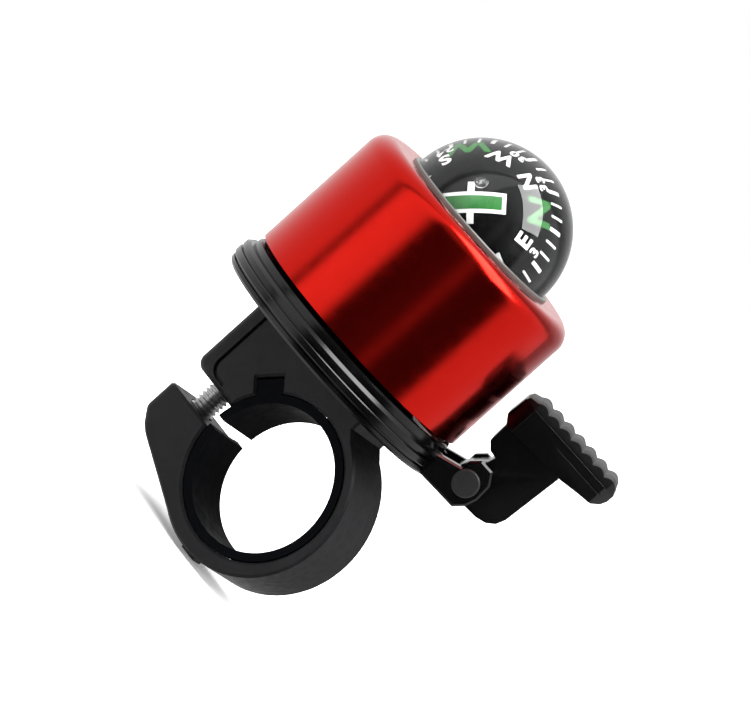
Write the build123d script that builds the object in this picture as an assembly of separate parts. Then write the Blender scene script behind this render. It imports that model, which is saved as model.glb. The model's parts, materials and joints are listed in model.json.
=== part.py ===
from build123d import *
import math
import os

# Handlebar bell with a ball compass. Millimetres and degrees.
# Origin: centre of the handlebar bore. +Y runs along the bar, +Z up the bell's axis, -X to the clamp screw.

# ---------------------------------------------------------------- driving dimensions
bar_diameter = 22.2          # standard handlebar
bush_wall = 1.3              # rubber liner in the clamp
bush_play = 0.2              # liner to ring, all round, before the screw is tightened
clamp_width = 10.6           # ring, neck and ears along the bar
bush_inset = 0.3             # liner's end inside the ring's face
key_angle = 139.0            # liner's key round the bore, from +X
key_width = 4.15
key_reach = 2.3              # key beyond the liner
key_play = 0.05
ring_wall = 2.2
ring_offset = 0.35           # the ring's outside sits low and to the left, so its wall is thicker there
jaw_gap_top = 2.45           # underside of the neck's jaw
jaw_gap_bottom = -1.7        # top of the lower ear
crown_wall = 4.2             # from the bore up to the underside of the flange
neck_width = 26.0
neck_lap = 0.4               # neck run up into the plate
jaw_round = 1.6              # outer corners of the two jaws
column_round = 2.0           # upright edges of the screw column
ear_round = 1.6              # and of the lower ear
edge_break = 0.35            # chamfer along the clamp's side edges
ear_depth = 7.2              # lower ear at the ring's side
ear_tip_depth = 5.2          # and at its outer end
groove_width = 0.6           # line that parts the screw column from the web
groove_depth = 0.8
nib_drop = 1.2               # small moulded nib under the ring

screw_diameter = 4.0         # M4 clamp screw and gong screw
screw_out = 2.8              # screw axis outside the ring
screw_edge = 4.4             # screw axis to the end face of the jaws
nut_flats = 7.0
nut_height = 3.2
nut_floor = 4.5              # jaw material under the nut
ear_floor = 4.9              # ear material over the screw's head
clamp_head_radius = 3.3
clamp_head_height = 2.3
hole_play = 0.15             # screw to a plain hole, all round

gong_radius = 20.2
gong_height = 23.2
gong_wall = 1.6
gong_corner = 3.0
gong_gap = 2.0               # flange to the gong's edge
flange_overhang = 1.3
flange_thickness = 4.0
flange_floor = 1.5           # plate under the mechanism
rebate_width = 1.0           # step in the plate's edge that carries the flange ring
rebate_height = 0.6
bead_height = 1.3            # rounded bead under the gong's edge
bead_width = 0.9
post_radius = 4.6
post_foot_radius = 3.7
post_foot_depth = 1.1        # foot let into the plate
insert_length = 5.5
insert_radius = 3.0
isolator_thickness = 0.8
gong_head_radius = 3.5
gong_head_height = 1.9
washer_radius = 3.4
washer_thickness = 0.7
drive_width = 0.8            # cross recess of both screws
drive_depth = 1.1
pocket_play = 1.1            # round the gong screw's head

compass_radius = 13.2
compass_wall = 1.0
compass_lift = 0.4           # ball's centre above the gong's top
well_play = 0.25             # compass to its well
well_wall = 1.4
lens_rim = 0.7               # rim standing out over the gong's top
lens_rim_height = 0.5
float_play = 1.0             # liquid between ball and capsule
float_wall = 0.8
tray_thickness = 0.8
spindle_radius = 0.6
keel_share = 0.42            # keel's radius as a share of the ball's inner radius
keel_thickness = 1.6
keel_play = 0.9              # keel's lower edge to the ball's inner wall
magnet_length = 9.0
magnet_width = 2.4
magnet_height = 1.6
magnet_spacing = 5.2
float_axis = (0.133, -0.972, 0.197)   # up-axis of the floating ball, as it lies at rest
float_north = -40.0          # the ball's north about that axis, from the bell's top

lever_azimuth = 28.0         # lever round the bell's axis, from +X
pivot_out = 4.0              # lever pivot outside the flange
pivot_rise = 0.2             # lever pivot above the flange's top
lever_arm_width = 9.2
lever_pad_width = 13.0
lever_pad_rise = 14.35       # pad's seat above the pivot
lever_pad_start = 3.4        # pad's inner end inside the pivot
lever_pad_end = 15.5         # and its outer end beyond it
pad_bevel = 2.3              # cut corners at the inner end
pad_bevel_outer = 1.8
pad_inset = 0.25             # ribbed insert inside the lever's edge
pad_thickness = 0.9
parting_height = 13.0        # parting line above the pivot
parting_width = 0.25
lever_pin_diameter = 2.5
pin_head_radius = 2.1
pin_head_height = 0.8
ear_thickness = 2.1
ear_break = 0.3
clip_radius = 2.3
clip_thickness = 0.6
toe_width = 4.0
toe_thickness = 1.1
toe_reach = 9.3              # toe's tip from the lever pivot
rib_count = 7
rib_pitch = 2.35
rib_radius = 1.3
rib_seat = 0.35              # ribs' centre line above the pad's seat
lever_coil_radius = 2.0
lever_wire_radius = 0.25
spring_bay_radius = 3.6
spring_bay_start = 2.4       # bay's inner wall from the lever's middle

hammer_pivot_in = 7.1        # hammer pivot inside the gong's inner wall
hammer_pivot_rise = 3.7      # and above the flange's floor
hammer_pin_diameter = 1.6
hammer_head_radius = 2.1
hammer_strip = 1.0           # thickness of the stamped arm
hammer_width = 4.0
hammer_eye_radius = 1.75
hammer_offset = 1.2          # upright strip outside the pivot
hammer_tail = 5.8            # tail's end outside the pivot
rivet_radius = 1.0
lug_radius = 1.9
lug_thickness = 1.4
hammer_coil_radius = 1.35
hammer_wire_radius = 0.15
strike_gap = 0.4             # hammer's nose to the gong at rest

running = 0.05               # radial clearance of a moving part on its pin
snug = 0.02                  # radial clearance of a fixed pin, screw or insert
side_play = 0.3              # between a moving part and the wall beside it
seat = 0.1                   # between flat faces that rest on each other

# ---------------------------------------------------------------- places worked out from them
bush_inner_r = bar_diameter / 2
bush_outer_r = bush_inner_r + bush_wall
ring_bore_r = bush_outer_r + bush_play
ring_outer_r = ring_bore_r + ring_wall
screw_x = -(ring_outer_r + screw_out)
screw_r = screw_diameter / 2
jaw_end_x = screw_x - screw_edge
bell_x = jaw_end_x + neck_width / 2
half_width = clamp_width / 2

flange_bottom_z = ring_bore_r + crown_wall
flange_top_z = flange_bottom_z + flange_thickness
floor_z = flange_bottom_z + flange_floor
flange_radius = gong_radius + flange_overhang
gong_bottom_z = flange_top_z + gong_gap
gong_top_z = gong_bottom_z + gong_height
gong_inner_r = gong_radius - gong_wall

compass_z = gong_top_z + compass_lift
well_radius = compass_radius + well_play
pocket_floor_z = compass_z - compass_radius - gong_head_height - washer_thickness - side_play
well_bottom_z = pocket_floor_z - gong_wall
post_top_z = well_bottom_z - isolator_thickness
pocket_radius = gong_head_radius + pocket_play
insert_low_z = post_top_z - insert_length

pivot_r = flange_radius + pivot_out
pivot_z = flange_top_z + pivot_rise
hammer_r = gong_inner_r - hammer_pivot_in
hammer_z = floor_z + hammer_pivot_rise
head_z = well_bottom_z + 1.3
toe_bottom_z = floor_z + seat
toe_tip_r = pivot_r - toe_reach
tail_bottom_z = toe_bottom_z + toe_thickness + side_play + 0.1
float_radius = compass_radius - compass_wall - float_play
float_inner_r = float_radius - float_wall
keel_r = keel_share * float_inner_r
keel_low = -math.sqrt((float_inner_r - keel_play) ** 2 - keel_r ** 2)
seal_r = compass_radius - compass_wall / 2
head_under_z = jaw_gap_bottom - ear_floor


# ---------------------------------------------------------------- helpers
def side_face(points):
    """Closed face through (x, z) corners, in the plane of X and Z."""
    return make_face(Plane.XZ * Polyline(*points, close=True))


def plate(points, width, centre=0.0):
    """Side face made into a plate of the given width along Y."""
    return Pos(0, centre, 0) * extrude(side_face(points), amount=width / 2, both=True)


def turned(points):
    """Solid turned about Z from an (r, z) outline."""
    return revolve(side_face(points), Axis.Z)


def rod_y(radius, length, x, z, centre=0.0):
    """Round bar along Y."""
    return Pos(x, centre, z) * Rot(90, 0, 0) * Cylinder(radius, length)


def disc(radius, low, high, x=0.0, y=0.0):
    """Upright round disc from one height to another."""
    return Pos(x, y, (low + high) / 2) * Cylinder(radius, high - low)


def block(x0, x1, y0, y1, z0, z1):
    return Pos((x0 + x1) / 2, (y0 + y1) / 2, (z0 + z1) / 2) * Box(x1 - x0, y1 - y0, z1 - z0)


def on_bell(shape):
    """Moves a shape drawn about Z onto the bell's axis."""
    return Pos(bell_x, 0, 0) * shape


def on_lever_side(shape):
    """Moves a shape drawn with the lever along +X to the lever's side of the bell."""
    return Pos(bell_x, 0, 0) * Rot(0, 0, lever_azimuth) * shape


def float_place():
    """Frame of the floating ball: its centre, with Z along its own up-axis."""
    return Plane(origin=(bell_x, 0, compass_z), x_dir=(0, 0, 1), z_dir=float_axis)


def in_float(shape):
    return float_place().location * shape


def hex_prism(flats, low, high, x):
    corner_r = flats / math.sqrt(3)
    outline = Rot(0, 0, 30) * RegularPolygon(corner_r, 6)
    return Pos(x, 0, low) * extrude(outline, amount=high - low)


# ---------------------------------------------------------------- base moulding
def clamp_outline():
    """Ring, neck and lower ear in side view, with the bore, the jaw gap and the keyway cut out."""
    ring = Pos(-ring_offset, -ring_offset) * Circle(ring_outer_r)
    neck_right = bell_x + neck_width / 2
    neck = make_face(Polyline(
        (jaw_end_x, jaw_gap_top),
        (jaw_end_x, flange_bottom_z + neck_lap),
        (neck_right, flange_bottom_z + neck_lap),
        (neck_right, ring_outer_r - 0.3),
        (neck_right + 2.4, ring_outer_r - 2.2),
        (0, jaw_gap_top),
        close=True))
    neck = fillet(neck.vertices().group_by(Axis.X)[0].sort_by(Axis.Y)[0], jaw_round)
    ear = make_face(Polyline(
        (jaw_end_x, jaw_gap_bottom),
        (0, jaw_gap_bottom),
        (-5.0, -ring_outer_r + 0.45),
        (jaw_end_x + 1.9, jaw_gap_bottom - ear_depth),
        (jaw_end_x, jaw_gap_bottom - ear_tip_depth),
        close=True))
    ear = fillet(ear.vertices().group_by(Axis.X)[0].sort_by(Axis.Y)[0], jaw_round)
    bore = Circle(ring_bore_r)
    gap = Pos((jaw_end_x - 1) / 2 - ring_bore_r / 2, (jaw_gap_top + jaw_gap_bottom) / 2) * Rectangle(
        ring_bore_r - jaw_end_x, jaw_gap_top - jaw_gap_bottom)
    keyway = Rot(0, 0, key_angle) * Pos(ring_bore_r, 0) * Rectangle(
        2 * (key_reach + bush_play), key_width + 2 * key_play)
    return ring + neck + ear - bore - gap - keyway


def clamp_block():
    """The outline made solid, with the screw column and the lower ear rounded and the side edges broken."""
    body = extrude(Plane.XZ * clamp_outline(), amount=half_width, both=True)
    column = body.edges().filter_by(Axis.Z).group_by(Axis.X)[0].sort_by(Axis.Z)[-2:]
    body = fillet(column, column_round)
    ear = body.edges().filter_by(Axis.Z).group_by(Axis.X)[0].sort_by(Axis.Z)[:2]
    body = fillet(ear, ear_round)
    ends = body.faces().filter_by(Axis.Y).sort_by(Axis.Y)
    return chamfer(ends[0].edges() + ends[-1].edges(), edge_break)


def plate_disc():
    """Round plate on the neck, stepped at its edge to carry the flange ring."""
    upper = disc(gong_inner_r - snug, flange_bottom_z, floor_z)
    lip = disc(gong_inner_r + rebate_width, flange_bottom_z, flange_bottom_z + rebate_height)
    return upper + lip


def ring_outline():
    """Section of the flange ring with its stepped edge and the bead, as (r, z)."""
    low, top, edge = flange_bottom_z, flange_top_z, flange_radius
    step = gong_inner_r + rebate_width + snug
    bead, bead_top = gong_radius, flange_top_z + bead_height
    return [
        (step, low), (edge - 0.7, low), (edge - 0.3, low + 0.4), (edge - 0.3, low + 0.9),
        (edge - 0.8, low + 1.0), (edge - 0.8, low + 1.25), (edge - 0.15, low + 1.3), (edge, low + 1.45),
        (edge, low + 2.3), (edge - 0.15, low + 2.45), (edge - 0.6, low + 2.5), (edge - 0.6, low + 2.75),
        (edge - 0.1, low + 2.85), (edge - 0.1, top - 0.5), (edge - 0.6, top), (bead, top),
        (bead, bead_top - 0.45), (bead - 0.13, bead_top - 0.13), (bead - bead_width / 2, bead_top),
        (bead - bead_width + 0.13, bead_top - 0.13), (bead - bead_width, bead_top - 0.45),
        (bead - bead_width, top), (gong_inner_r, top - 0.7),
        (gong_inner_r, low + rebate_height), (step, low + rebate_height)]


def lever_yoke():
    """Two ears outside the flange ring that hold the lever's pin."""
    inner = lever_arm_width / 2 + side_play
    outline = [
        (flange_radius - 2.0, flange_bottom_z + 0.2), (pivot_r + 1.1, flange_bottom_z + 0.4),
        (pivot_r + 2.4, pivot_z - 2.3), (pivot_r + 2.9, pivot_z - 0.5), (pivot_r + 2.7, pivot_z + 2.2),
        (pivot_r + 1.4, pivot_z + 3.9), (pivot_r - 0.8, pivot_z + 3.9), (pivot_r - 2.0, pivot_z + 2.5),
        (pivot_r - 2.0, pivot_z + 1.1), (flange_radius - 2.0, flange_top_z)]
    ears = Part()
    for side in (-1, 1):
        ear = plate(outline, ear_thickness, side * (inner + ear_thickness / 2))
        ear = chamfer(ear.faces().sort_by(Axis.Y)[0 if side < 0 else -1].edges(), ear_break)
        ears += ear
    return ears


def hammer_lugs():
    """Two lugs on the floor that hold the hammer's pin."""
    inner = hammer_width / 2 + side_play
    lugs = Part()
    for side in (-1, 1):
        lug = plate([(hammer_r - lug_radius, floor_z - 0.2), (hammer_r + lug_radius, floor_z - 0.2),
                     (hammer_r + lug_radius, hammer_z), (hammer_r - lug_radius, hammer_z)], lug_thickness)
        lug += rod_y(lug_radius, lug_thickness, hammer_r, hammer_z)
        lugs += Pos(0, side * (inner + lug_thickness / 2), 0) * lug
    return lugs


def neck_groove(side):
    """Square groove that parts the screw column from the web, on one face of the neck."""
    face_y = side * half_width
    column_x = jaw_end_x + 3.2
    turn = 1.9
    line = FilletPolyline(
        (column_x, flange_bottom_z - 0.4), (column_x, jaw_gap_top + 1.3),
        (column_x + 3.4, jaw_gap_top + 1.3),
        radius=turn)
    track = Plane.XZ * trace(line, line_width=groove_width)
    return Pos(0, face_y, 0) * extrude(track, amount=groove_depth, both=True)


def base_body():
    """Bracket: clamp ring, jaws, neck and the round plate with the hammer's lugs."""
    body = on_bell(plate_disc())
    body += clamp_block()
    body += on_lever_side(hammer_lugs())
    body -= on_lever_side(rod_y(hammer_pin_diameter / 2 + snug, 9, hammer_r, hammer_z))
    body -= disc(screw_r + hole_play, -20, jaw_gap_top + nut_floor + 1, screw_x)
    body -= hex_prism(nut_flats + 2 * snug, jaw_gap_top + nut_floor, flange_top_z, screw_x)
    body -= disc(clamp_head_radius + hole_play, -20, head_under_z, screw_x)
    body -= on_bell(disc(post_foot_radius + snug, floor_z - post_foot_depth, floor_z + 1))
    for side in (-1, 1):
        body -= neck_groove(side)
    nib = block(-2.6, 0.3, -1.2, 1.2, -ring_outer_r - nib_drop, -ring_outer_r + 0.6)
    return body + nib


def base_rim():
    """Flange ring round the plate, with the lever's ears and a slot for the lever's toe."""
    ring = on_bell(turned(ring_outline()))
    ring += on_lever_side(lever_yoke())
    slot_half = toe_width / 2 + side_play
    ring -= on_lever_side(block(hammer_r + 5.0, flange_radius + 1, -slot_half, slot_half,
                                floor_z, flange_top_z + bead_height + 1))
    ring -= on_lever_side(rod_y(lever_pin_diameter / 2 + snug, 30, pivot_r, pivot_z))
    return ring


def gong_post():
    """Pillar that carries the gong, let into the plate at its foot."""
    post = disc(post_radius, floor_z, post_top_z)
    post += disc(post_foot_radius, floor_z - post_foot_depth, floor_z)
    post -= disc(insert_radius + snug, insert_low_z, post_top_z + 1)
    return on_bell(post - disc(screw_r + hole_play, insert_low_z - 2.5, post_top_z))


# ---------------------------------------------------------------- clamp pieces
def clamp_bush():
    """Split rubber liner with a key that sits in the ring's keyway."""
    length = clamp_width - 2 * bush_inset
    liner = Circle(bush_outer_r)
    liner += Rot(0, 0, key_angle) * Pos(bush_outer_r, 0) * Rectangle(2 * key_reach, key_width)
    liner -= Circle(bush_inner_r)
    liner -= Pos(-bush_inner_r, -0.3) * Rectangle(2 * bush_wall + 2, 1.7)
    body = extrude(Plane.XZ * liner, amount=length / 2, both=True)
    waist = rod_y(bush_outer_r + 0.5, length - 3.2, 0, 0) - rod_y(bush_outer_r - 0.25, length, 0, 0)
    return body - (waist - Rot(0, -key_angle, 0) * block(8, 20, -9, 9, -2.4, 2.4))


def cross_drive():
    """Cross recess, drawn upwards from the head's face."""
    across = screw_diameter
    return Box(across, drive_width, 2 * drive_depth) + Box(drive_width, across, 2 * drive_depth)


def clamp_screw():
    """Screw with a pan head, up through the lower ear into the nut."""
    head_low = head_under_z - clamp_head_height
    head = disc(clamp_head_radius, head_low, head_under_z, screw_x)
    head = fillet(head.edges().group_by(Axis.Z)[0], 0.9)
    shank_top = jaw_gap_top + nut_floor + nut_height + 1.6
    shank = chamfer(disc(screw_r, head_under_z, shank_top, screw_x).edges().group_by(Axis.Z)[-1], 0.4)
    return head + shank - Pos(screw_x, 0, head_low) * cross_drive()


def clamp_nut():
    low = jaw_gap_top + nut_floor
    nut = hex_prism(nut_flats, low, low + nut_height, screw_x)
    nut &= Pos(screw_x, 0, low + nut_height / 2) * Cylinder(nut_flats / math.sqrt(3) - 0.15, nut_height)
    return nut - disc(screw_r + snug, low - 1, low + nut_height + 1, screw_x)


# ---------------------------------------------------------------- gong and its fixing
def gong():
    """Turned aluminium gong with a round well for the compass in its top."""
    shell = disc(gong_radius, gong_bottom_z, gong_top_z)
    shell = fillet(shell.edges().group_by(Axis.Z)[-1], gong_corner)
    hollow = disc(gong_inner_r, gong_bottom_z - 1, gong_top_z - gong_wall - 0.2)
    hollow = fillet(hollow.edges().group_by(Axis.Z)[-1], gong_corner - 1)
    cup = Pos(0, 0, compass_z) * Sphere(well_radius + well_wall)
    cup += disc(pocket_radius + well_wall, well_bottom_z, compass_z)
    cup &= disc(gong_radius, well_bottom_z, gong_top_z - 0.5)
    well = Pos(0, 0, compass_z) * Sphere(well_radius)
    well += disc(pocket_radius, pocket_floor_z, compass_z)
    shape = shell - hollow + cup - well - disc(screw_r + hole_play, well_bottom_z - 1, compass_z)
    return on_bell(shape)


def gong_isolator():
    ring = disc(post_radius, post_top_z, well_bottom_z) - disc(screw_r + hole_play, 0, 60)
    return on_bell(ring)


def post_insert():
    """Knurled brass insert in the centre post."""
    body = disc(insert_radius, insert_low_z, post_top_z)
    waist = disc(insert_radius + 1, insert_low_z + 0.38 * insert_length, insert_low_z + 0.58 * insert_length)
    body -= waist - disc(insert_radius - 0.5, 0, 60)
    return on_bell(body - disc(screw_r + snug, 0, 60))


def gong_washer_ring():
    """Split spring washer under the gong screw's head."""
    ring = disc(washer_radius, pocket_floor_z, pocket_floor_z + washer_thickness)
    ring -= disc(screw_r + hole_play, 0, 60)
    return on_bell(ring - Rot(0, 0, 40) * block(1, 5, -0.25, 0.25, 0, 60))


def gong_screw():
    head_low = pocket_floor_z + washer_thickness
    head = disc(gong_head_radius, head_low, head_low + gong_head_height)
    head = fillet(head.edges().group_by(Axis.Z)[-1], 0.8)
    shank = disc(screw_r, insert_low_z - 0.6, head_low)
    return on_bell(head + shank - Pos(0, 0, head_low + gong_head_height) * cross_drive())


# ---------------------------------------------------------------- compass
def compass_cup():
    """Lower half of the capsule, with a filling hole at the bottom and a seat for the seal."""
    ball = Pos(0, 0, compass_z) * (Sphere(compass_radius) - Sphere(compass_radius - compass_wall))
    cup = ball & disc(compass_radius + 1, 0, gong_top_z)
    cup -= disc(1.5, 0, compass_z)
    return on_bell(cup - (disc(seal_r + 0.2, gong_top_z - 0.3, 99) - disc(seal_r - 0.2, 0, 99)))


def compass_seal():
    """Thin sealing ring between cup and lens."""
    return on_bell(disc(seal_r + 0.18, gong_top_z - 0.28, gong_top_z) - disc(seal_r - 0.18, 0, 99))


def compass_plug():
    """Plug in the filling hole."""
    low = compass_z - compass_radius + 0.1
    return on_bell(disc(1.5 - snug, low, low + compass_wall))


def compass_pad():
    """Band of adhesive foam between the capsule and its well."""
    band = Sphere(well_radius - snug) - Sphere(compass_radius + snug)
    band = Pos(0, 0, compass_z) * band & disc(20, compass_z - 10.5, compass_z - 6.5)
    return on_bell(band)


def compass_lens():
    """Clear upper half of the capsule, with a rim that rests on the gong's top."""
    ball = Sphere(compass_radius) - Sphere(compass_radius - compass_wall)
    lens = Pos(0, 0, compass_z) * ball & disc(20, gong_top_z, 99)
    rim = disc(compass_radius + lens_rim, gong_top_z, gong_top_z + lens_rim_height)
    rim = fillet(rim.edges().group_by(Axis.Z)[-1], 0.2) - disc(compass_radius - 0.3, 0, 99)
    return on_bell(lens + rim)


def ball_half(upper):
    """Half of the floating ball; the lower half has a ledge for the magnet tray."""
    shell = Sphere(float_radius) - Sphere(float_inner_r)
    if upper:
        return in_float(shell & disc(20, 0, 20))
    ledge = disc(float_radius - 0.3, -2 * tray_thickness, -tray_thickness - 0.1)
    ledge -= disc(float_inner_r - 1.0, -2, 1)
    shell += ledge & Sphere(float_radius - 0.1)
    return in_float(shell & disc(20, -20, 0))


def magnet_tray():
    """Round tray that rests on the ledge, with the spindle through its middle."""
    top = -0.1
    tray = disc(float_inner_r - 0.1, top - tray_thickness, top) - disc(spindle_radius + running, -2, 2)
    return in_float(tray)


def compass_magnets():
    """Two bar magnets on the tray, along the ball's north, one each side of the spindle."""
    bars = Part()
    for side in (-1, 1):
        middle = side * magnet_spacing / 2
        bars += block(-magnet_length / 2, magnet_length / 2, middle - magnet_width / 2,
                      middle + magnet_width / 2, -0.1, magnet_height - 0.1)
    return in_float(Rot(0, 0, float_north) * bars)


def compass_keel():
    """Brass weight on a spindle, which keeps the ball's top upwards."""
    weight = disc(keel_r, keel_low, keel_low + keel_thickness)
    weight += disc(spindle_radius, keel_low + keel_thickness - 0.1, spindle_radius)
    weight += disc(spindle_radius + 0.5, 0.0, spindle_radius)
    return in_float(weight)


# ---------------------------------------------------------------- thumb lever
def lever_point(out, up):
    return (pivot_r + out, pivot_z + up)


def corner_cuts(start, end, half):
    """Upright prisms that cut the pad's four corners, larger ones at the inner end."""
    cuts = Part()
    for side in (-1, 1):
        for out, bevel in ((start, pad_bevel), (end, pad_bevel_outer)):
            prism = Box(bevel * math.sqrt(2), bevel * math.sqrt(2), 12)
            cuts += Pos(pivot_r + out, side * half, pivot_z + 13) * Rot(0, 0, 45) * prism
    return cuts


def thumb_lever():
    """Arm from the pivot up to the pad's seat, the pad's body and the toe under the hammer's tail."""
    arm = plate([lever_point(*p) for p in (
        (-2.3, 9.6), (-2.2, 6.5), (-1.1, 5.5), (0.2, 5.3), (-0.1, 4.1), (-2.0, 2.0), (-2.6, 0.5),
        (-2.6, -0.8), (-1.6, -2.2), (0.2, -2.75), (4.6, -2.5), (6.2, -2.0), (7.3, -1.0), (7.8, 0.4),
        (8.5, 10.4))],
        lever_arm_width)
    outer = arm.edges().filter_by(Axis.Y).group_by(Axis.X)[-1]
    arm = fillet(outer, 0.5)
    half = lever_pad_width / 2
    pad = plate([lever_point(*p) for p in (
        (-lever_pad_start, 10.9), (-2.3, 9.7), (8.6, 10.3), (11.8, 10.9), (14.0, 11.2), (15.1, 12.1),
        (lever_pad_end, 13.1),
        (lever_pad_end, lever_pad_rise), (0.2 - lever_pad_start, lever_pad_rise))], lever_pad_width)
    pad -= corner_cuts(-lever_pad_start, lever_pad_end, half)
    toe = plate([(pivot_r - 1.0, toe_bottom_z), (toe_tip_r, toe_bottom_z),
                 (toe_tip_r, toe_bottom_z + toe_thickness - 0.3),
                 (toe_tip_r + 0.3, toe_bottom_z + toe_thickness),
                 (pivot_r - 1.0, toe_bottom_z + toe_thickness + 0.5)], toe_width)
    body = arm + pad
    bay_width = lever_arm_width / 2
    bay = rod_y(spring_bay_radius, bay_width, pivot_r, pivot_z, spring_bay_start + bay_width / 2)
    body -= bay & block(pivot_r - 4, pivot_r + 3.3, spring_bay_start, 9, 0, pivot_z + 3.0)
    body += toe
    body -= rod_y(lever_pin_diameter / 2 + running, 30, pivot_r, pivot_z)
    for side in (-1, 1):
        body -= block(pivot_r + 5.3, pivot_r + 16, side * half - parting_width, side * half + parting_width,
                      pivot_z + parting_height, pivot_z + parting_height + parting_width)
    return on_lever_side(body)


def thumb_pad():
    """Ribbed insert on the lever's top face."""
    low = pivot_z + lever_pad_rise
    half = lever_pad_width / 2 - pad_inset
    start, end = 0.4 - lever_pad_start, lever_pad_end - 0.2
    inner, outer = pivot_r + start, pivot_r + end
    pad = block(inner, outer, -half, half, low, low + pad_thickness)
    ribs = Part()
    for index in range(rib_count):
        centre = outer - rib_radius + 0.15 - rib_pitch * index
        ribs += rod_y(rib_radius, 2 * half, centre, low + rib_seat)
    pad += ribs & block(inner, outer, -half, half, low, low + 3)
    return on_lever_side(pad - corner_cuts(start, end, half))


def pin_half_length():
    """Centre of the lever to the outer face of an ear."""
    return lever_arm_width / 2 + side_play + ear_thickness


def lever_pin():
    """Headed pin through both ears, with a plain end for the clip."""
    reach = pin_half_length()
    tail = 2 * clip_thickness
    pin = rod_y(lever_pin_diameter / 2, 2 * reach + tail, pivot_r, pivot_z, tail / 2)
    head = rod_y(pin_head_radius, pin_head_height, pivot_r, pivot_z, -reach - pin_head_height / 2)
    head = fillet(head.edges().group_by(Axis.Y)[0], 0.35)
    return on_lever_side(pin + head)


def lever_clip():
    """Retaining ring pressed on the pin's plain end."""
    place = pin_half_length() + clip_thickness / 2 + 0.05
    ring = rod_y(clip_radius, clip_thickness, pivot_r, pivot_z, place)
    return on_lever_side(ring - rod_y(lever_pin_diameter / 2 + snug, 2, pivot_r, pivot_z, place))


def torsion_spring(coil_r, wire_r, turns, pitch, leg_in, leg_out):
    """Coil about Z with a straight leg at each end, all one wire."""
    helix = Helix(pitch=pitch, height=turns * pitch, radius=coil_r)
    first = Line(helix @ 0 - (helix % 0) * leg_in, helix @ 0)
    last = Line(helix @ 1, helix @ 1 + (helix % 1) * leg_out)
    wire = Wire([first.edge(), helix.edge(), last.edge()])
    return sweep(Plane(origin=wire @ 0, z_dir=wire % 0) * Circle(wire_r), path=wire)


def lever_spring():
    """Return spring of the lever, in the bay beside its hub."""
    coil = torsion_spring(lever_coil_radius, lever_wire_radius, 3.25, 0.56, 2.2, 1.6)
    return on_lever_side(Pos(pivot_r, spring_bay_start + side_play + 0.05, pivot_z) * Rot(-90, 0, 0) * coil)


# ---------------------------------------------------------------- hammer
def hammer_arm():
    """Stamped arm: a rolled eye on the pin, a tail over the lever's toe and a strip up to the head."""
    strip = hammer_strip
    arm_r = hammer_r + hammer_offset
    tail_r = hammer_r + hammer_tail
    tail_low = tail_bottom_z
    eye = rod_y(hammer_eye_radius, hammer_width, hammer_r, hammer_z)
    tail = plate([(hammer_r + 0.3, hammer_z - 1.6), (hammer_r + 1.9, tail_low), (tail_r, tail_low),
                  (tail_r, tail_low + strip), (hammer_r + 2.3, tail_low + strip),
                  (hammer_r + 1.5, hammer_z - 0.4)], hammer_width)
    upright = plate([(hammer_r - 1.0, hammer_z + 1.0), (arm_r, hammer_z + 3.0), (arm_r, head_z + 2.2),
                     (arm_r + strip, head_z + 2.2), (arm_r + strip, hammer_z + 2.4),
                     (hammer_r + 0.6, hammer_z + 1.2)], hammer_width)
    arm = eye + tail + upright
    arm -= rod_y(hammer_pin_diameter / 2 + running, 20, hammer_r, hammer_z)
    narrow = hammer_width / 2
    arm -= rod_y(2.4, narrow, hammer_r, hammer_z, narrow) & block(
        hammer_r - 3, hammer_r + 1.6, 1.0, 4, hammer_z - 2.2, hammer_z + 2.2)
    arm -= Pos(arm_r, 0, head_z) * Rot(0, 90, 0) * Cylinder(rivet_radius + snug, 6)
    return on_lever_side(arm)


def hammer_head():
    """Steel striker riveted through the arm."""
    back = hammer_r + hammer_offset + hammer_strip
    nose = gong_inner_r - strike_gap
    outline = [(0, back), (hammer_head_radius, back), (hammer_head_radius, nose - 1.4),
               (hammer_head_radius - 0.35, nose - 0.6), (hammer_head_radius - 1.0, nose - 0.15), (0, nose)]
    head = turned(outline)
    shank = disc(rivet_radius, back - hammer_strip - 0.1, back + 0.1)
    shank += disc(rivet_radius + 0.6, back - hammer_strip - 0.6, back - hammer_strip)
    return on_lever_side(Pos(0, 0, head_z) * Rot(0, 90, 0) * (head + shank))


def hammer_pin():
    half = hammer_width / 2 + side_play + lug_thickness
    return on_lever_side(rod_y(hammer_pin_diameter / 2, 2 * half, hammer_r, hammer_z))


def hammer_spring():
    """Light spring that keeps the hammer's tail down on its bumper."""
    coil = torsion_spring(hammer_coil_radius, hammer_wire_radius, 2.25, 0.36, 0.6, 0.6)
    return on_lever_side(Pos(hammer_r, 1.25, hammer_z) * Rot(-90, 0, 0) * coil)


def hammer_bumper():
    """Rubber block that the hammer's tail comes down on."""
    low, high = floor_z, tail_bottom_z - seat
    pad = block(hammer_r + 2.2, hammer_r + 4.2, -1.6, 1.6, low, high)
    return on_lever_side(pad)


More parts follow.
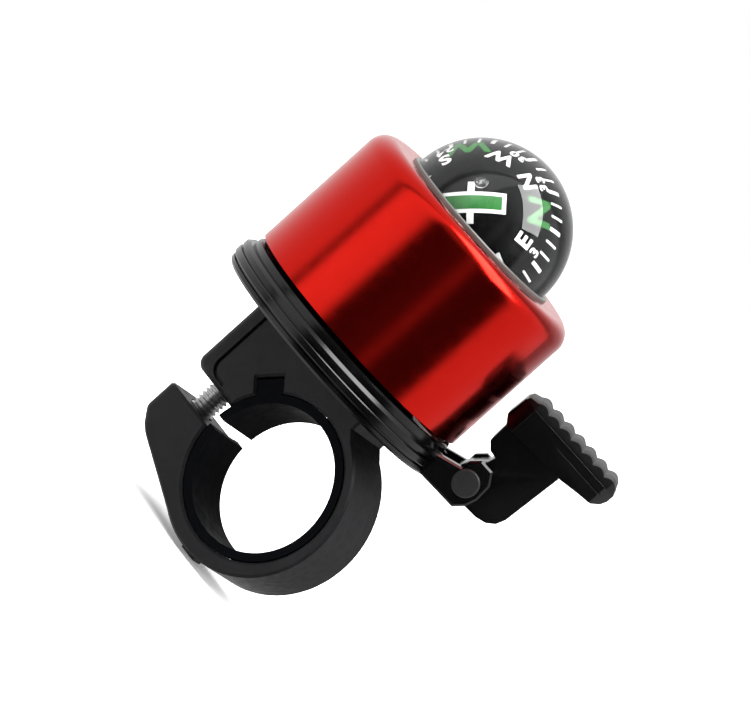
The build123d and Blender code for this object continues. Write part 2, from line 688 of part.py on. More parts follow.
# ---------------------------------------------------------------- write one file for each piece
pieces = {
    "base_body": base_body,
    "base_rim": base_rim,
    "gong_post": gong_post,
    "clamp_bush": clamp_bush,
    "clamp_screw": clamp_screw,
    "clamp_nut": clamp_nut,
    "gong": gong,
    "gong_isolator": gong_isolator,
    "post_insert": post_insert,
    "gong_washer": gong_washer_ring,
    "gong_screw": gong_screw,
    "compass_cup": compass_cup,
    "compass_seal": compass_seal,
    "compass_plug": compass_plug,
    "compass_pad": compass_pad,
    "compass_lens": compass_lens,
    "ball_top": lambda: ball_half(True),
    "ball_bottom": lambda: ball_half(False),
    "magnet_tray": magnet_tray,
    "compass_magnets": compass_magnets,
    "compass_keel": compass_keel,
    "thumb_lever": thumb_lever,
    "thumb_pad": thumb_pad,
    "lever_pin": lever_pin,
    "lever_clip": lever_clip,
    "lever_spring": lever_spring,
    "hammer_arm": hammer_arm,
    "hammer_head": hammer_head,
    "hammer_pin": hammer_pin,
    "hammer_spring": hammer_spring,
    "hammer_bumper": hammer_bumper,
}

os.makedirs("parts", exist_ok=True)
for name, make in pieces.items():
    shape = make()
    export_step(shape, f"parts/{name}.step")
    print(name, round(shape.volume, 2))
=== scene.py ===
# %% [markdown]
# # Bicycle bell with a compass top
# The measured CAD parts come in as a fixed frame, in metres, with +Y along the handlebar and +Z up the
# bell's axis. The cells below set the camera and the light, give every part a worked surface, and replace
# the parts whose CAD shape is plainer than the real one: the lens, the thumb lever, its grip and the clamp
# screw. The compass card's printing and the capsule's air bubble are new pieces.

# %% Load the frame
import json
import math

import bpy
from mathutils import Matrix, Vector


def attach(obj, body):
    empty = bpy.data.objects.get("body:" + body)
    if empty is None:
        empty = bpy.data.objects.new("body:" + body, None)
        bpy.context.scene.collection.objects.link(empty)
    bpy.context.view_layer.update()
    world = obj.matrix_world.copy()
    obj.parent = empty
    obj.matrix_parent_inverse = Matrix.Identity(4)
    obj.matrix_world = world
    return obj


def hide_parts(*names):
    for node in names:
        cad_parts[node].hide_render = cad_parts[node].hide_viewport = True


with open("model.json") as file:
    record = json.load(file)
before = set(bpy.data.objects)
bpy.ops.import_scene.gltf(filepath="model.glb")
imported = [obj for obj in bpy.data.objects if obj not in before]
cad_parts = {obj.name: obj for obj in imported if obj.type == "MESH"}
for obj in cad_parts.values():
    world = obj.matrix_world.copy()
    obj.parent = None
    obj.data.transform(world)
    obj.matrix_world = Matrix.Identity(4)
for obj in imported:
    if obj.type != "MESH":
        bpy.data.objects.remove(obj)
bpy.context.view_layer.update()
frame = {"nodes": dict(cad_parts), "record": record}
nodes = frame["nodes"]

# %% [markdown]
# ## Places
# Two places are used again and again: the bell's axis, and the floating ball, whose Z is its own up-axis and
# whose X is its north. Typing coordinates piece by piece would work too, but a matrix for the ball lets
# each mark be worked out flat and simple and then moved with the rest.

# %% Places in metres
MM = 0.001
scene = bpy.context.scene
BELL = Vector((-9.0, 0.0, 0.0)) * MM
COMPASS = Vector((-9.0, 0.0, 46.4)) * MM
BALL_RADIUS = 11.2 * MM
NORTH_TURN = math.radians(-40)

ball_up = Vector((0.133, -0.972, 0.197)).normalized()
ball_top = (Vector((0, 0, 1)) - ball_up * ball_up.z).normalized()
north = Matrix.Rotation(NORTH_TURN, 4, ball_up) @ ball_top
ball_place = Matrix((north, ball_up.cross(north), ball_up)).transposed().to_4x4()
ball_place.translation = COMPASS
print("ball's north:", [round(value, 3) for value in north])

# %% [markdown]
# ## Camera
# A small product is best taken with a long lens from about a metre, because a short lens close by would
# swell the nearest edges. The camera stands a little above the flange and is rolled, so the bell leans
# to the right. Its turn is built from three axes at right angles, which is easier to reason about than
# three angles.

# %% Camera
AIM = Vector((-5.28, 0.0, 22.98)) * MM
AZIMUTH, ELEVATION, ROLL = (math.radians(angle) for angle in (28.02, 6.11, 48.1))
DISTANCE = 964.7 * MM
FOCAL_LENGTH = 322.8

back = Vector((math.sin(AZIMUTH) * math.cos(ELEVATION),
               -math.cos(AZIMUTH) * math.cos(ELEVATION), math.sin(ELEVATION)))
level = Vector((0, 0, 1)).cross(back).normalized()
right = Matrix.Rotation(ROLL, 3, back) @ level
turn = Matrix((right, back.cross(right), back)).transposed().to_4x4()

camera_data = bpy.data.cameras.new("camera")
camera_data.sensor_width = 36
camera_data.lens = FOCAL_LENGTH
camera = bpy.data.objects.new("camera", camera_data)
scene.collection.objects.link(camera)
camera.matrix_world = Matrix.Translation(AIM + back * DISTANCE) @ turn
scene.camera = camera
print("camera at", [round(value, 3) for value in camera.location])

# %% [markdown]
# ## Light
# The gong is a polished cylinder, so its look is the room round it: tall soft boxes with dark gaps between
# them. A ring of area lamps could stand for them, but a world that is bright or dark by direction has no
# edges to hide and costs little to render. The boxes are placed by bearing from the camera's own side.


# %% Direction in the world
def link(tree, source, target):
    """Joins an output socket to an input socket."""
    tree.links.new(source, target)


world = bpy.data.worlds.new("studio")
scene.world = world
world.use_nodes = True
sky = world.node_tree
background = sky.nodes["Background"]
direction = sky.nodes.new("ShaderNodeTexCoord").outputs["Generated"]
parts = sky.nodes.new("ShaderNodeSeparateXYZ")
link(sky, direction, parts.inputs[0])


def sky_math(operation, first, second):
    """One math node of the world, given sockets or plain numbers."""
    node = sky.nodes.new("ShaderNodeMath")
    node.operation = operation
    for socket, value in zip(node.inputs, (first, second)):
        if isinstance(value, (int, float)):
            socket.default_value = value
        else:
            link(sky, value, socket)
    return node.outputs[0]


ahead = sky_math("ADD", sky_math("MULTIPLY", parts.outputs["X"], math.sin(AZIMUTH)),
                 sky_math("MULTIPLY", parts.outputs["Y"], -math.cos(AZIMUTH)))
aside = sky_math("ADD", sky_math("MULTIPLY", parts.outputs["X"], math.cos(AZIMUTH)),
                 sky_math("MULTIPLY", parts.outputs["Y"], math.sin(AZIMUTH)))
bearing = sky_math("ARCTAN2", aside, ahead)
share = sky_math("ADD", sky_math("DIVIDE", bearing, 2 * math.pi), 0.5)
print("world nodes:", len(sky.nodes))

# %% [markdown]
# A colour ramp reads the bearing as a share of the full circle. Each stop is one place in the room, and the
# eased steps between them give the boxes soft edges. That makes the bands on the gong fade as real ones do.

# %% World of soft boxes
boxes = sky.nodes.new("ShaderNodeValToRGB")
boxes.color_ramp.interpolation = "EASE"
link(sky, share, boxes.inputs[0])
# bearing in degrees from the camera's side, and how bright the room is there
ROOM = [(-180, 1.0), (-84, 1.0), (-74, 0.25), (-66, 1.35), (-40, 1.2), (-28, 0.05), (5, 0.08),
        (16, 0.26), (26, 0.06), (57, 0.05), (67, 0.95), (118, 1.0), (130, 0.3), (150, 0.5), (180, 1.0)]
ramp = boxes.color_ramp.elements
while len(ramp) < len(ROOM):
    ramp.new(0.5)
for element, (angle, value) in zip(ramp, ROOM):
    element.position = angle / 360 + 0.5
    element.color = (value, value, value, 1)
print("room drawn with", len(ramp), "stops")

# %% [markdown]
# Surfaces that face up see a pale ceiling, or the flange would be as dark as the gaps. The camera itself sees
# plain white all round, like a shop's backdrop, while the metal still mirrors the boxes.

# %% Ceiling and white surroundings
overhead = sky.nodes.new("ShaderNodeMapRange")
overhead.interpolation_type = "SMOOTHSTEP"
link(sky, parts.outputs["Z"], overhead.inputs["Value"])
for socket, value in (("From Min", 0.4), ("From Max", 0.9), ("To Min", 0.0), ("To Max", 0.35)):
    overhead.inputs[socket].default_value = value
room_level = sky_math("MAXIMUM", boxes.outputs["Color"], overhead.outputs[0])
seen = sky.nodes.new("ShaderNodeLightPath").outputs["Is Camera Ray"]
link(sky, sky_math("MAXIMUM", room_level, seen), background.inputs["Strength"])
background.inputs["Color"].default_value = (1, 1, 1, 1)
print("world nodes in all:", len(sky.nodes))

# %% [markdown]
# ## Floor and lamps
# A plain pale floor lies just under the clamp, and glossy surfaces don't see it, so their bands come from
# the boxes. The lamps are wide, for soft shadows. Spot lamps would be sharper, and too small to look like a
# window in a curved surface. Only the tall window lamp shows in gloss.

# %% Floor
bpy.ops.object.select_all(action="DESELECT")
bpy.ops.mesh.primitive_plane_add(size=2.4, location=(0, 0, -16.1 * MM))
floor = bpy.context.object
floor.name = "floor"
floor.visible_glossy = False
floor_material = bpy.data.materials.new("pale_floor")
floor_material.use_nodes = True
floor_shader = floor_material.node_tree.nodes["Principled BSDF"]
for socket, value in (("Base Color", (0.93, 0.93, 0.93, 1)), ("Roughness", 0.9),
                      ("Emission Color", (1, 1, 1, 1)), ("Emission Strength", 0.2)):
    floor_shader.inputs[socket].default_value = value
floor.data.materials.append(floor_material)
print("floor at", round(floor.location.z / MM, 1), "mm")


# %% Lamps
def soft_lamp(name, place, size, power, in_gloss):
    """Area lamp, (width, height) across, that looks at the bell."""
    data = bpy.data.lights.new(name, "AREA")
    data.shape = "RECTANGLE"
    data.size, data.size_y = size
    data.energy = power
    lamp = bpy.data.objects.new(name, data)
    scene.collection.objects.link(lamp)
    lamp.location = place
    lamp.rotation_mode = "QUATERNION"
    lamp.rotation_quaternion = (Vector(place) - AIM).to_track_quat("Z", "Y")
    lamp.visible_glossy = in_gloss
    print("lamp:", name)


soft_lamp("key", (-0.35, -0.55, 0.75), (0.5, 0.5), 14, False)
soft_lamp("top", (0.0, 0.1, 1.0), (0.9, 0.9), 8, False)
soft_lamp("side", (0.75, -0.1, 0.35), (0.4, 0.4), 5, False)


def direction_from_camera(bearing, elevation):
    """Unit vector from the bell, by bearing to the right of the camera and height, in degrees."""
    around, up = AZIMUTH + math.radians(bearing), math.radians(elevation)
    return Vector((math.sin(around) * math.cos(up), -math.cos(around) * math.cos(up), math.sin(up)))


soft_lamp("window", AIM + direction_from_camera(58, 67) * 0.9, (0.44, 0.85), 13, True)
scene.view_settings.view_transform = "Standard"


# %% [markdown]
# ## Surfaces
# Moulded plastic, rubber and turned metal differ in their numbers more than in kind, so one recipe makes
# them all: a base colour that drifts a little, a roughness that varies over fine patches, and a fine grain
# in the normal. Painted images could do the same, but noise needs no unwrapping and never runs out of
# detail. Object coordinates are in metres, so a grain of a quarter millimetre is a scale of about 4000.

# %% Noise, colour and grain
def noise(tree, vector, scale, detail=3.0, roughness=0.55):
    """Noise of the given scale, stretched over a coordinate."""
    node = tree.nodes.new("ShaderNodeTexNoise")
    node.inputs["Scale"].default_value = scale
    node.inputs["Detail"].default_value = detail
    node.inputs["Roughness"].default_value = roughness
    link(tree, vector, node.inputs["Vector"])
    return node.outputs["Fac"]


def spread(tree, value, low, high):
    """Maps a noise, which stays mostly between 0.3 and 0.7, to a range."""
    node = tree.nodes.new("ShaderNodeMapRange")
    for socket, limit in (("From Min", 0.3), ("From Max", 0.7), ("To Min", low), ("To Max", high)):
        node.inputs[socket].default_value = limit
    link(tree, value, node.inputs["Value"])
    return node.outputs[0]


def mix_colours(tree, factor, first, second):
    """Blends two colours by a factor socket."""
    node = tree.nodes.new("ShaderNodeMix")
    node.data_type = "RGBA"
    link(tree, factor, node.inputs["Factor"])
    node.inputs["A"].default_value = (*first, 1)
    node.inputs["B"].default_value = (*second, 1)
    return node.outputs["Result"]


def grain_normal(tree, coordinate, scale, strength, depth, detail=3.0):
    """Tilts the shader's normal by a fine noise of the given depth in metres."""
    height = tree.nodes.new("ShaderNodeBump")
    height.inputs["Strength"].default_value = strength
    height.inputs["Distance"].default_value = depth
    link(tree, noise(tree, coordinate, scale, detail), height.inputs["Height"])
    link(tree, height.outputs[0], tree.nodes["Principled BSDF"].inputs["Normal"])


print("noise tools ready")

# %% The recipe itself
PATCHES = 180
GRAIN_DEPTH = 0.00005


def worn(name, rough, grain, metal=0.0, shine=0.5):
    """A material whose roughness wanders between (low, high), and the coordinate its noises read."""
    material = bpy.data.materials.new(name)
    material.use_nodes = True
    tree = material.node_tree
    shader = tree.nodes["Principled BSDF"]
    shader.inputs["Metallic"].default_value = metal
    shader.inputs["Specular IOR Level"].default_value = shine
    place = tree.nodes.new("ShaderNodeTexCoord").outputs["Object"]
    wear = noise(tree, place, grain / 6, 5.0)
    link(tree, spread(tree, wear, *rough), shader.inputs["Roughness"])
    return material, place


def drifting_colour(tree, place, colour, drift):
    """Lets the base colour wander between two neighbours, in patches a few millimetres wide."""
    mixed = mix_colours(tree, noise(tree, place, PATCHES), colour, drift)
    link(tree, mixed, tree.nodes["Principled BSDF"].inputs["Base Color"])


def surface(name, colour, drift, rough, grain=4000, bump=0.1, metal=0.0, shine=0.5):
    """A material: colour and its drifted neighbour, (low, high) roughness, grain scale and strength."""
    material, place = worn(name, rough, grain, metal, shine)
    drifting_colour(material.node_tree, place, colour, drift)
    grain_normal(material.node_tree, place, grain, bump, GRAIN_DEPTH)
    return material


print("surface recipe ready")


# %% [markdown]
# The blacks are set far darker than they look, because the studio light is strong. One dark grey could have
# served for all, but on the real bell the flange and lever are glossy, the clamp has a fine grain and the
# liner is dull rubber, and those differences tell the parts from each other.

# %% Surfaces of the parts
# name, colour, drifted colour, (low, high) roughness, grain scale, grain strength
finish = {}
for name, colour, drift, rough, grain, bump, extras in (
        ("moulded_black", (0.003, 0.003, 0.0034), (0.0065, 0.0065, 0.0073),
         (0.36, 0.5), 5200, 0.25, {"shine": 0.16}),
        ("gloss_black", (0.0004, 0.0004, 0.0005), (0.001, 0.001, 0.0012),
         (0.16, 0.24), 2400, 0.04, {"shine": 0.36}),
        ("pad_grip", (0.002, 0.002, 0.0022), (0.004, 0.004, 0.0042),
         (0.36, 0.5), 4200, 0.2, {"shine": 0.22}),
        ("liner_rubber", (0.0007, 0.0008, 0.0013), (0.0016, 0.0018, 0.0026),
         (0.5, 0.66), 3600, 0.3, {"shine": 0.02}),
        ("bright_steel", (0.55, 0.55, 0.56), (0.66, 0.66, 0.65),
         (0.24, 0.4), 6000, 0.12, {"metal": 1.0}),
        ("spring_steel", (0.36, 0.36, 0.37), (0.46, 0.45, 0.44),
         (0.3, 0.46), 6000, 0.15, {"metal": 1.0}),
        ("dark_steel", (0.006, 0.006, 0.0065), (0.012, 0.012, 0.012),
         (0.3, 0.42), 6000, 0.15, {"shine": 0.3}),
        ("brass", (0.66, 0.46, 0.17), (0.75, 0.55, 0.24),
         (0.26, 0.42), 5000, 0.12, {"metal": 1.0}),
        ("ball_black", (0.0015, 0.0015, 0.0018), (0.003, 0.003, 0.0035),
         (0.3, 0.42), 1500, 0.03, {"shine": 0.05}),
        ("white_plastic", (0.7, 0.7, 0.68), (0.78, 0.78, 0.76),
         (0.4, 0.55), 3000, 0.1, {}),
        ("magnet", (0.12, 0.12, 0.13), (0.2, 0.2, 0.2),
         (0.5, 0.7), 3000, 0.3, {"metal": 0.6})):
    finish[name] = surface(name, colour, drift, rough, grain, bump, **extras)
print(len(finish), "surfaces")


# %% [markdown]
# ## Gong
# The gong is turned aluminium, dyed red in its anodised skin. So it is a metal with a red colour: a red
# plastic with a coat would keep white highlights, where this one tints them. The lathe leaves faint rings.
# They follow the distance from the bell's axis and the height, so the noise reads those two.


# %% Red anodised metal
RING_DEPTH = 0.00002


def anodised():
    """Polished red metal with faint turning rings round the bell's axis."""
    material, place = worn("red_anodised", (0.15, 0.21), 3000, metal=1.0)
    tree = material.node_tree
    drifting_colour(tree, place, (0.56, 0.011, 0.007), (0.6, 0.015, 0.01))
    offset = tree.nodes.new("ShaderNodeVectorMath")
    offset.operation = "SUBTRACT"
    link(tree, place, offset.inputs[0])
    offset.inputs[1].default_value = BELL
    axes = tree.nodes.new("ShaderNodeSeparateXYZ")
    link(tree, offset.outputs[0], axes.inputs[0])
    flat = tree.nodes.new("ShaderNodeCombineXYZ")
    link(tree, axes.outputs["X"], flat.inputs["X"])
    link(tree, axes.outputs["Y"], flat.inputs["Y"])
    radius = tree.nodes.new("ShaderNodeVectorMath")
    radius.operation = "LENGTH"
    link(tree, flat.outputs[0], radius.inputs[0])
    rings = tree.nodes.new("ShaderNodeCombineXYZ")
    link(tree, radius.outputs["Value"], rings.inputs["X"])
    link(tree, axes.outputs["Z"], rings.inputs["Z"])
    grain_normal(tree, rings.outputs[0], 6000, 0.035, RING_DEPTH, 4.0)
    return material


finish["red_anodised"] = anodised()
print("gong's finish done")

# %% [markdown]
# ## Clear plastic
# The dome is clear and polished, and the liquid under it bends light too. One low index for both keeps the
# ball's picture just filling the dome, and a thin coat adds the hard gloss of the plastic. Seen on edge, the
# shell is long to look through, so it turns dark there, and its flat rim is hazy from moulding.


# %% Clear lens and its rim
DARKENING = (0.52, 0.82)


def clear_plastic():
    """Clear polished plastic over the damping liquid, with faint handling marks in its gloss."""
    material, place = worn("clear_lens", (0.0, 0.03), 900)
    tree = material.node_tree
    grain_normal(tree, place, 900, 0.01, GRAIN_DEPTH)
    shader = tree.nodes["Principled BSDF"]
    for socket, value in (("Transmission Weight", 1.0), ("IOR", 1.19), ("Coat Weight", 0.65),
                          ("Coat Roughness", 0.03)):
        shader.inputs[socket].default_value = value
    edge = tree.nodes.new("ShaderNodeLayerWeight")
    edge.inputs["Blend"].default_value = 0.5
    turned = tree.nodes.new("ShaderNodeMapRange")
    for socket, limit in zip(("From Min", "From Max"), DARKENING):
        turned.inputs[socket].default_value = limit
    link(tree, edge.outputs["Facing"], turned.inputs["Value"])
    shade = mix_colours(tree, turned.outputs[0], (0.95, 0.96, 0.96), (0.02, 0.02, 0.022))
    link(tree, shade, shader.inputs["Base Color"])
    return material


finish["clear_lens"] = clear_plastic()
rim_finish = surface("lens_rim", (0.07, 0.07, 0.065), (0.1, 0.1, 0.093), (0.26, 0.4), 1800, 0.06)
print("lens finishes done")

# %% [markdown]
# ## Painting the CAD parts
# The frame names a finish for every part, so one loop paints them all. Naming each part here would be longer,
# and easy to get wrong. Two are set apart: the lever's pin and its clip are painted as blackened steel.

# %% Put the surfaces on the CAD parts
slots = {row["node"]: row["material_slot"] for row in frame["record"]["subparts"]}
for name, slot_name in slots.items():
    mesh = nodes[name].data
    mesh.materials.clear()
    mesh.materials.append(finish[slot_name])
for name in ("lever_pin", "lever_clip"):
    nodes[name].data.materials[0] = finish["dark_steel"]
print(len(slots), "CAD parts painted")

# %% [markdown]
# ## Compass card
# On the real ball the card is printed in white and green ink. A texture could carry it, but real pieces stay
# sharp from close by. Flat text and bars are divided finely and laid on the ball along great circles from
# each mark's own centre, so that letters near the pole and near the edge keep their shape.


# %% Laying flat work on the ball
def start_piece(name, *surfaces):
    """Names the active object and gives it its surfaces."""
    piece = bpy.context.object
    piece.name = name
    piece.data.name = name
    piece.data.materials.clear()
    for material in surfaces:
        piece.data.materials.append(material)
    return piece


def lay_on_ball(piece, bearing, polar, lift):
    """Lays a flat piece on the ball: bearing east of north and angle from the pole, in degrees."""
    around, down = math.radians(-bearing), math.radians(polar)
    outward = Vector((math.cos(around), math.sin(around), 0))
    pole = Vector((0, 0, 1))
    centre = outward * math.sin(down) + pole * math.cos(down)
    to_pole = pole * math.sin(down) - outward * math.cos(down)
    sideways = to_pole.cross(centre)
    radius = BALL_RADIUS + lift
    for vertex in piece.data.vertices:
        across = sideways * vertex.co.x + to_pole * vertex.co.y
        bend = across.length / BALL_RADIUS
        heading = across.normalized() if bend > 1e-9 else across
        vertex.co = ball_place @ ((centre * math.cos(bend) + heading * math.sin(bend)) * radius)
    piece.matrix_world = Matrix.Identity(4)


def divide(cuts):
    """Splits the active mesh finely, so that it can bend."""
    bpy.ops.object.mode_set(mode="EDIT")
    bpy.ops.mesh.select_all(action="SELECT")
    bpy.ops.mesh.quads_convert_to_tris()
    bpy.ops.mesh.subdivide(number_cuts=cuts)
    bpy.ops.object.mode_set(mode="OBJECT")


print("ball radius:", round(BALL_RADIUS / MM, 1), "mm")

# %% Text and bars
BOLDER = 0.035
INK_LIFT = 0.04 * MM


def lettering(name, text, size, bearing, polar, ink):
    """Bold text, centred at its place, with its top towards the pole."""
    bpy.ops.object.select_all(action="DESELECT")
    bpy.ops.object.text_add()
    words = bpy.context.object
    words.data.body = text
    words.data.size = size
    words.data.align_x = "CENTER"
    words.data.align_y = "CENTER"
    words.data.offset = BOLDER * size
    words.data.space_character = 1.15
    words.data.resolution_u = 3
    bpy.ops.object.convert(target="MESH")
    divide(3)
    piece = start_piece(name, ink)
    lay_on_ball(piece, bearing, polar, INK_LIFT)
    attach(piece, "ball")
    return piece


def bar(name, width, length, bearing, polar, lift, ink):
    """Flat bar whose length points to the pole."""
    bpy.ops.object.select_all(action="DESELECT")
    bpy.ops.mesh.primitive_plane_add(size=1)
    bpy.context.object.scale = (width, length, 1)
    bpy.ops.object.transform_apply(scale=True)
    divide(7)
    piece = start_piece(name, ink)
    lay_on_ball(piece, bearing, polar, lift)
    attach(piece, "ball")
    return piece


print("ink lies", round(INK_LIFT / MM, 2), "mm above the ball")

# %% [markdown]
# Printed ink is matt and never covers quite evenly. The same recipe gives it a faint unevenness, which a
# plain colour would lack.

# %% Inks
white_ink = surface("white_ink", (0.78, 0.78, 0.76), (0.86, 0.86, 0.84), (0.35, 0.5), 5000, 0.12)
green_ink = surface("green_ink", (0.0, 0.1, 0.004), (0.001, 0.135, 0.008), (0.35, 0.5), 5000, 0.12)
print("inks:", white_ink.name, green_ink.name)

# %% [markdown]
# The dial has the four quarters in green, white letters for the pairs between them, and the bearings in
# tens of degrees. The two letters of a pair could be one word, but set one by one each leans with its own
# place on the ball.

# %% Letters and numerals
QUARTER, PAIR, NUMERAL = 5.6 * MM, 3.5 * MM, 2.3 * MM
for bearing, polar, text in ((0, 55, "N"), (90, 55, "E"), (180, 55, "S"), (262, 60, "W")):
    lettering(f"card_{text}", text, QUARTER, bearing, polar, green_ink)
for bearing, text in ((50, "NE"), (130, "SE"), (222, "SW"), (312, "NW")):
    for shift, one in zip((18, -18), text):
        letter = lettering(f"card_{text}_{one}", one, PAIR, bearing + shift, 49, white_ink)
for numeral in (3, 6, 12, 15, 21, 24, 30, 33):
    letter = lettering(f"card_{numeral}", str(numeral), NUMERAL, 10 * numeral + 3, 62, white_ink)
print("lettering done")

# %% [markdown]
# Thirty-six ticks stand round the edge of the card, every third one bold. A loop over the bearing places
# them, where an array would need a turned empty to copy round.

# %% Degree ticks
for step in range(36):
    bold = step % 3 == 0
    width = 0.55 * MM if bold else 0.34 * MM
    tick = bar(f"card_tick_{step:02d}", width, 2.8 * MM, 10 * step + 9, 73, INK_LIFT, white_ink)
print("ticks done")

# %% [markdown]
# The pointer on the ball's pole is a green bar with a white edge, over a white cross-bar. They lie in three
# thin layers, so that no two surfaces share a place and flicker.

# %% Needle on the ball's top
cross = bar("card_cross", 1.0 * MM, 6.2 * MM, 90, 0, 0.03 * MM, white_ink)
rim = bar("card_needle_edge", 3.1 * MM, 10.0 * MM, 0, 0, 0.05 * MM, white_ink)
needle = bar("card_needle", 2.0 * MM, 8.8 * MM, 0, 0, 0.07 * MM, green_ink)
print("needle:", len(needle.data.vertices), "points")

# %% [markdown]
# ## Lens
# The real capsule is full of liquid, which makes the ball look as wide as the dome. The shell and the
# liquid could be two solids, but faces that touch render badly. So one clear solid stands for both: the
# dome and its rim above, and the liquid's round bottom inside the cup. It is turned, as on a lathe, from
# half its outline.


# %% Drawing and turning
def draw_line(outline, axis_x=0.0):
    """Leaves a chain of edges through (x, z) points in metres, selected in edit mode."""
    bpy.ops.object.select_all(action="DESELECT")
    bpy.ops.mesh.primitive_plane_add(size=1)
    bpy.ops.object.mode_set(mode="EDIT")
    bpy.ops.mesh.delete(type="ONLY_FACE")
    bpy.ops.mesh.select_all(action="SELECT")
    bpy.ops.mesh.merge(type="CENTER")
    bpy.ops.object.mode_set(mode="OBJECT")
    bpy.context.object.data.vertices[0].co = (axis_x + outline[0][0], 0, outline[0][1])
    bpy.ops.object.mode_set(mode="EDIT")
    bpy.ops.mesh.select_all(action="SELECT")
    for (x0, z0), (x1, z1) in zip(outline, outline[1:]):
        bpy.ops.mesh.extrude_region_move(TRANSFORM_OT_translate={"value": (x1 - x0, 0, z1 - z0)})
    bpy.ops.mesh.select_all(action="SELECT")


def turned_piece(name, outline, steps, *surfaces):
    """Spins an open outline of (r, z) points in metres round the bell's axis."""
    draw_line(outline, BELL.x)
    bpy.ops.mesh.spin(steps=steps, angle=2 * math.pi, center=BELL, axis=(0, 0, 1))
    bpy.ops.mesh.select_all(action="SELECT")
    bpy.ops.mesh.remove_doubles(threshold=0.01 * MM)
    bpy.ops.mesh.normals_make_consistent(inside=False)
    bpy.ops.object.mode_set(mode="OBJECT")
    return start_piece(name, *surfaces)


def arc(centre_z, radius, first, last, count):
    """Points of an arc about the axis, by angle from straight up, in degrees."""
    angles = [math.radians(first + (last - first) * index / count) for index in range(count + 1)]
    return [(radius * math.sin(angle), centre_z + radius * math.cos(angle)) for angle in angles]


print("lathe ready, round x =", round(BELL.x / MM, 1), "mm")

# %% Dome's outline
GONG_TOP = 46.0 * MM
LENS_RADIUS = 13.2 * MM
RIM_RADIUS = 13.9 * MM
RIM_TOP = GONG_TOP + 0.5 * MM
RIM_BREAK = 0.15 * MM
dome_edge = math.degrees(math.acos((RIM_TOP - COMPASS.z) / LENS_RADIUS))
LIQUID_RADIUS = 12.1 * MM
liquid_edge = math.degrees(math.acos((GONG_TOP - COMPASS.z) / LIQUID_RADIUS))
outline = arc(COMPASS.z, LIQUID_RADIUS, 180, liquid_edge, 24)
outline += [(RIM_RADIUS, GONG_TOP), (RIM_RADIUS, RIM_TOP - RIM_BREAK), (RIM_RADIUS - RIM_BREAK, RIM_TOP)]
outline += arc(COMPASS.z, LENS_RADIUS, dome_edge, 0, 40)
print("half outline:", len(outline), "points")

# %% Solid dome
dome = turned_piece("lens_dome", outline, 128, finish["clear_lens"], rim_finish)
SLACK = 0.05 * MM
for face in dome.data.polygons:
    out = (face.center - COMPASS).to_2d().length
    face.material_index = int(out > LENS_RADIUS - SLACK and GONG_TOP < face.center.z < RIM_TOP + SLACK)
SMOOTH = math.radians(35)
bpy.ops.object.shade_smooth_by_angle(angle=SMOOTH)
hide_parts("compass_lens")
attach(dome, "base")
print("dome:", len(dome.data.polygons), "faces")

# %% [markdown]
# A filled capsule often keeps a small air bubble, pressed flat between the ball and the dome near the
# highest spot. Cutting a hollow into the dome would be truer to the physics, but a flattened clear sphere
# shows the same bright ring and is far simpler.

# %% Air bubble
BUBBLE_AROUND, BUBBLE_POLAR, BUBBLE_OUT = math.radians(64), math.radians(16), 11.75 * MM
bpy.ops.object.select_all(action="DESELECT")
bpy.ops.mesh.primitive_uv_sphere_add(segments=32, ring_count=16, radius=1.0 * MM)
bubble = start_piece("air_bubble", finish["clear_lens"])
towards = ball_place.to_3x3() @ Vector((math.sin(BUBBLE_POLAR) * math.cos(BUBBLE_AROUND),
                                        math.sin(BUBBLE_POLAR) * math.sin(BUBBLE_AROUND),
                                        math.cos(BUBBLE_POLAR)))
flatten = Matrix.Diagonal((1, 1, 0.4, 1))
upright = towards.to_track_quat("Z", "Y").to_matrix().to_4x4()
bubble.data.transform(Matrix.Translation(COMPASS + towards * BUBBLE_OUT) @ upright @ flatten)
bpy.ops.object.shade_smooth()
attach(bubble, "base")
print("bubble:", len(bubble.data.polygons), "faces")

# %% [markdown]
# ## Thumb lever
# The real lever is moulded, so its edges are soft and catch the light. It could be drawn anew, but its bore
# and its spring's bay have to fit the CAD. So the points of a copy of the CAD lever are merged, its flat
# faces are joined again, and every sharp edge is bevelled.


# %% Soft-edged copy of a CAD part
def bevel_edges(piece, width, segments=3):
    """Rounds every edge sharper than thirty degrees, then shades the rest smooth."""
    bpy.ops.object.select_all(action="DESELECT")
    piece.select_set(True)
    bpy.context.view_layer.objects.active = piece
    bpy.ops.object.modifier_add(type="BEVEL")
    bevel = piece.modifiers[-1]
    bevel.width = width
    bevel.segments = segments
    bevel.limit_method = "ANGLE"
    bevel.angle_limit = math.radians(30)
    bpy.ops.object.modifier_apply(modifier=bevel.name)
    bpy.ops.object.shade_smooth_by_angle(angle=SMOOTH)


def soft_copy(node_name, name, width):
    """Merged copy of a CAD node with rounded edges, which replaces it."""
    bpy.ops.object.select_all(action="DESELECT")
    nodes[node_name].select_set(True)
    bpy.context.view_layer.objects.active = nodes[node_name]
    bpy.ops.object.duplicate()
    piece = bpy.context.object
    for key in list(piece.keys()):
        del piece[key]
    bpy.ops.object.mode_set(mode="EDIT")
    bpy.ops.mesh.select_all(action="SELECT")
    bpy.ops.mesh.remove_doubles(threshold=0.002 * MM)
    bpy.ops.mesh.dissolve_limited(angle_limit=math.radians(1))
    bpy.ops.object.mode_set(mode="OBJECT")
    start_piece(name, finish[slots[node_name]])
    bevel_edges(piece, width)
    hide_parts(node_name)
    return piece


print("bevel and copy ready")

# %% Lever
lever = soft_copy("thumb_lever", "lever_moulding", 0.4 * MM)
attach(lever, "lever")
print("lever:", len(lever.data.polygons), "faces")

# %% [markdown]
# ## Ribbed grip
# The pad's top is a row of shallow waves across the thumb. A displaced plane would have no sides, so one
# wavy outline is drawn instead, filled and pulled to the pad's width. Then its corners are cut, its edges
# softened, and the whole turned to the lever's side of the bell.

